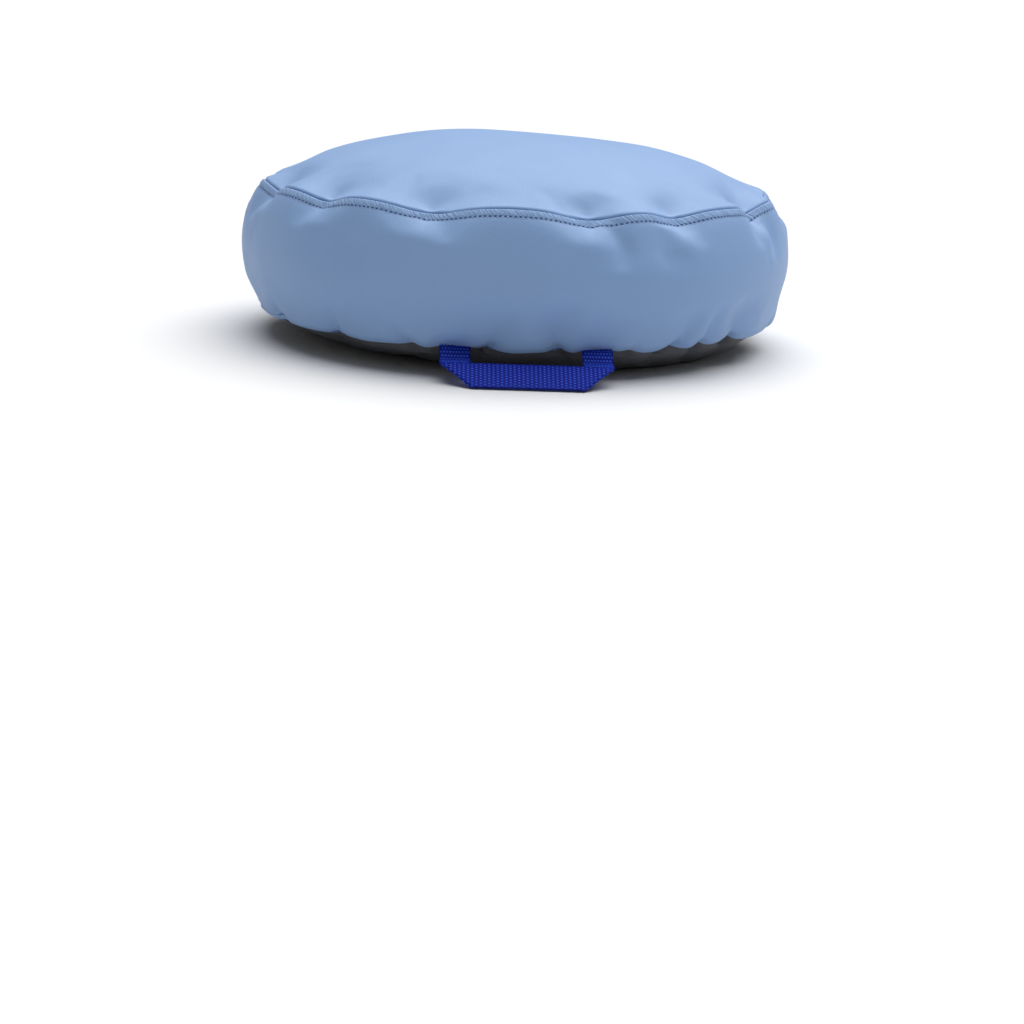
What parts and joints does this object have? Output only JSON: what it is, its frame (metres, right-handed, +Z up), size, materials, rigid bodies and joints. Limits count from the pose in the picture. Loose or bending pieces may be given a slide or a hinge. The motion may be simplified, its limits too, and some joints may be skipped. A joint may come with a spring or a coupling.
{
  "type": "floor cushion",
  "caption": "Round floor cushion with a domed vinyl top, a rounded side band, a dark base panel, a webbing carry handle at the front and a zip along the back of the base seam.",
  "frame": {"origin": "on the floor, at the centre of the flat face that the cushion rests on", "axes": "+Z up, -Y towards the carry handle, +X to the right when the handle is looked at"},
  "size_m": [0.5, 0.5215, 0.189],
  "materials": {
    "cover_vinyl": "satin light blue vinyl with a fine leather grain",
    "base_cloth": "matte charcoal non-slip base cloth",
    "webbing": "woven royal blue polypropylene webbing",
    "foam": "open-cell polyurethane foam",
    "wadding": "bonded polyester wadding",
    "thread": "slate blue bonded nylon thread",
    "zip_tape": "woven black zip tape",
    "zip_coil": "black nylon coil",
    "zip_metal": "nickel-plated zinc"
  },
  "bodies": {
    "cushion": {"top_panel": "cover_vinyl", "side_band": "cover_vinyl", "bottom_panel": "base_cloth", "foam_core": "foam", "wadding_top": "wadding", "wadding_side": "wadding", "wadding_bottom": "wadding", "topstitch_thread": "thread", "seam_thread_top": "thread", "seam_thread_bottom": "thread", "handle_tail_left": "webbing", "handle_tail_right": "webbing", "zip_tape_upper": "zip_tape", "zip_tape_lower": "zip_tape", "zip_coil_upper": "zip_coil", "zip_coil_lower": "zip_coil", "zip_stop_closed": "zip_metal", "zip_stop_open": "zip_metal", "zip_stitch_upper": "thread", "zip_stitch_lower": "thread"},
    "handle": {"handle_webbing": "webbing"},
    "zip_slider": {"zip_slider": "zip_metal"},
    "zip_pull": {"zip_pull": "zip_metal"}
  },
  "joints": [
    {"name": "handle_hinge", "type": "hinge", "parent": "cushion", "child": "handle", "pos_m": [0, -0.22655, 0.02493], "axis": [-1, 0, 0], "range_deg": [-62, 62]},
    {"name": "zip_slide", "type": "hinge", "parent": "cushion", "child": "zip_slider", "pos_m": [0, 0, 0], "axis": [0, 0, 1], "range_deg": [0, 105]},
    {"name": "pull_hinge", "type": "hinge", "parent": "zip_slider", "child": "zip_pull", "pos_m": [0.18294, 0.13894, 0.02629], "axis": [0.5786, 0.4394, 0.6872], "range_deg": [-80, 80]}
  ]
}
